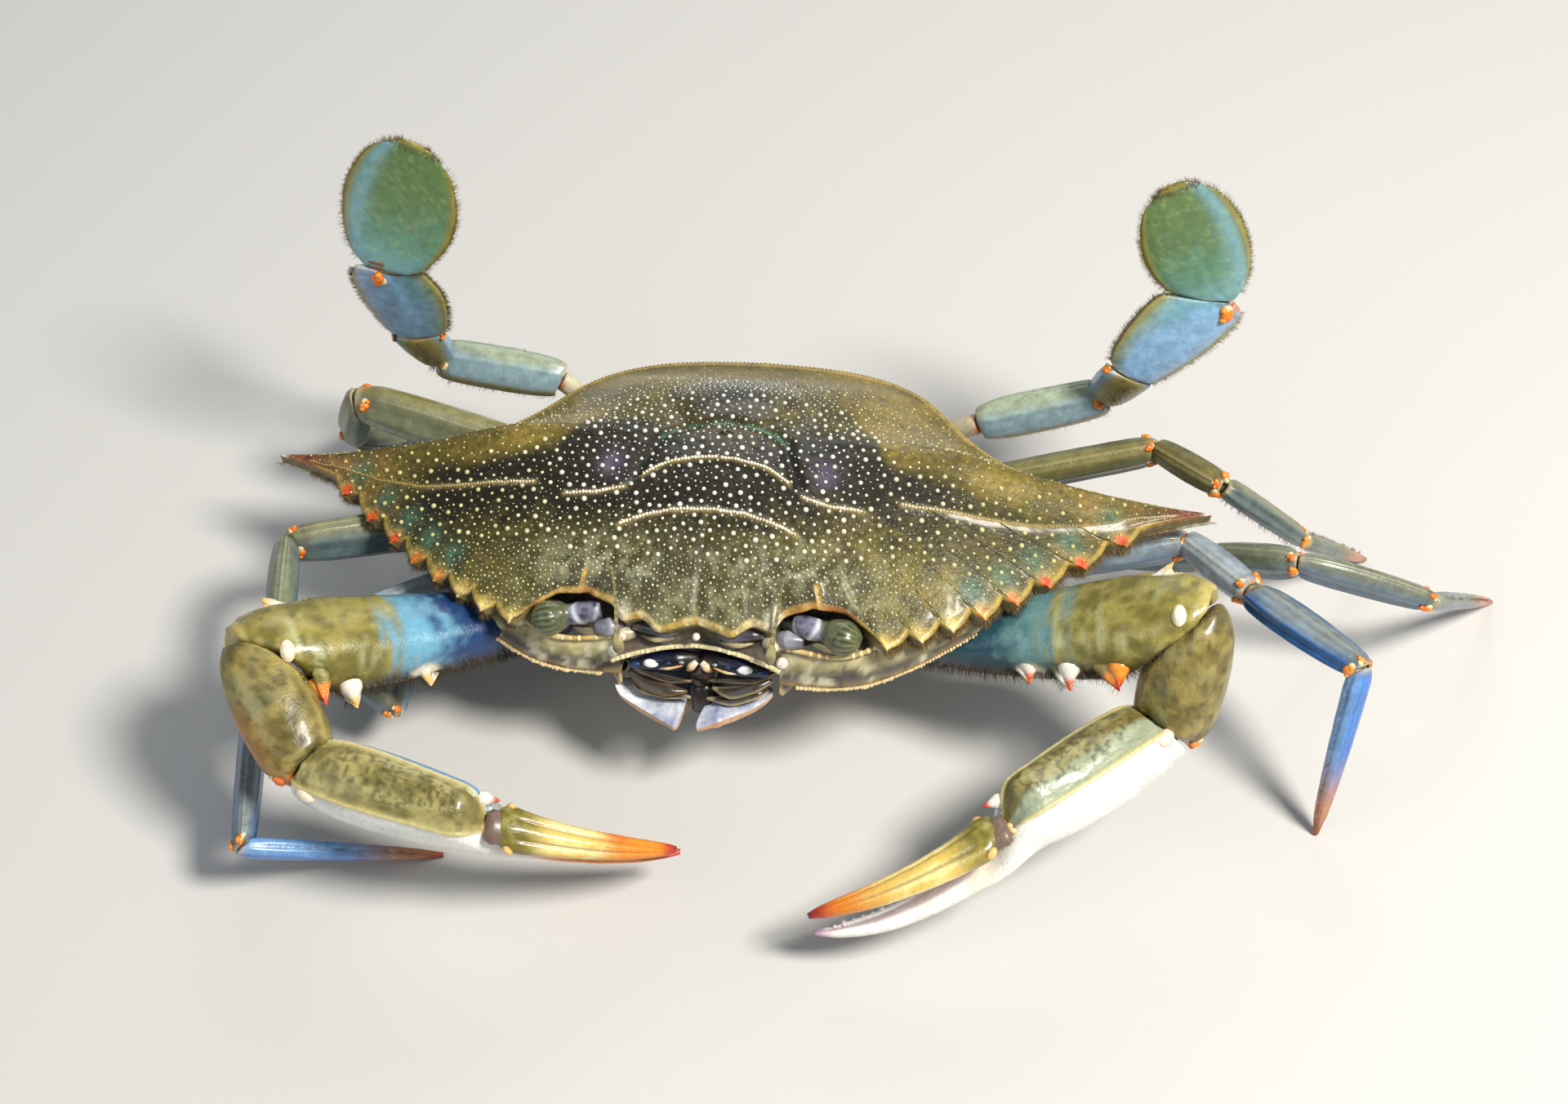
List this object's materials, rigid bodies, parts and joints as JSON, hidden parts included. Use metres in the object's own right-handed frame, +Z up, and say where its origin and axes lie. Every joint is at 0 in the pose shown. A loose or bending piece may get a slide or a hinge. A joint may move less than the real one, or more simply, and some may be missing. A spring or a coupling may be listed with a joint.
{
  "type": "blue swimming crab, life-size display model",
  "caption": "Still, life-size model of an adult female blue swimming crab standing with claws lowered in front and swimming paddles raised.",
  "frame": {"origin": "on the floor, under the middle of the whole model's bounding box", "axes": "+X towards the crab's left side, +Y towards its rear, so that it faces -Y, +Z up from the floor"},
  "size_m": [0.1992, 0.101, 0.0771],
  "materials": {
    "carapace_shell": "satin, granular",
    "underside_shell": "satin",
    "mouth_shell": "satin",
    "eye_cornea": "glossy, ribbed",
    "antenna_shell": "satin",
    "claw_shell": "satin, granular",
    "claw_finger": "glossy",
    "leg_shell": "satin",
    "paddle_shell": "satin, translucent rim"
  },
  "bodies": {
    "root": {"abdomen": "underside_shell", "antenna_L": "antenna_shell", "antenna_R": "antenna_shell", "carapace": "carapace_shell", "cheliped_carpus_L": "claw_shell", "cheliped_carpus_R": "claw_shell", "cheliped_coxa_L": "underside_shell", "cheliped_coxa_R": "underside_shell", "cheliped_finger_L": "claw_finger", "cheliped_finger_R": "claw_finger", "cheliped_merus_L": "claw_shell", "cheliped_merus_R": "claw_shell", "cheliped_palm_L": "claw_shell", "cheliped_palm_R": "claw_shell", "eye_L": "eye_cornea", "eye_R": "eye_cornea", "leg2_carpus_L": "leg_shell", "leg2_carpus_R": "leg_shell", "leg2_coxa_L": "underside_shell", "leg2_coxa_R": "underside_shell", "leg2_dactyl_L": "leg_shell", "leg2_dactyl_R": "leg_shell", "leg2_merus_L": "leg_shell", "leg2_merus_R": "leg_shell", "leg2_propodus_L": "leg_shell", "leg2_propodus_R": "leg_shell", "leg3_carpus_L": "leg_shell", "leg3_carpus_R": "leg_shell", "leg3_coxa_L": "underside_shell", "leg3_coxa_R": "underside_shell", "leg3_dactyl_L": "leg_shell", "leg3_dactyl_R": "leg_shell", "leg3_merus_L": "leg_shell", "leg3_merus_R": "leg_shell", "leg3_propodus_L": "leg_shell", "leg3_propodus_R": "leg_shell", "leg4_carpus_L": "leg_shell", "leg4_carpus_R": "leg_shell", "leg4_coxa_L": "underside_shell", "leg4_coxa_R": "underside_shell", "leg4_dactyl_L": "leg_shell", "leg4_dactyl_R": "leg_shell", "leg4_merus_L": "leg_shell", "leg4_merus_R": "leg_shell", "leg4_propodus_L": "leg_shell", "leg4_propodus_R": "leg_shell", "leg5_carpus_L": "leg_shell", "leg5_carpus_R": "leg_shell", "leg5_coxa_L": "underside_shell", "leg5_coxa_R": "underside_shell", "leg5_merus_L": "leg_shell", "leg5_merus_R": "leg_shell", "leg5_paddle_L": "paddle_shell", "leg5_paddle_R": "paddle_shell", "leg5_propodus_L": "paddle_shell", "leg5_propodus_R": "paddle_shell", "mouth_frame": "mouth_shell", "sternum": "underside_shell", "third_maxilliped_L": "mouth_shell", "third_maxilliped_R": "mouth_shell"}
  },
  "joints": []
}
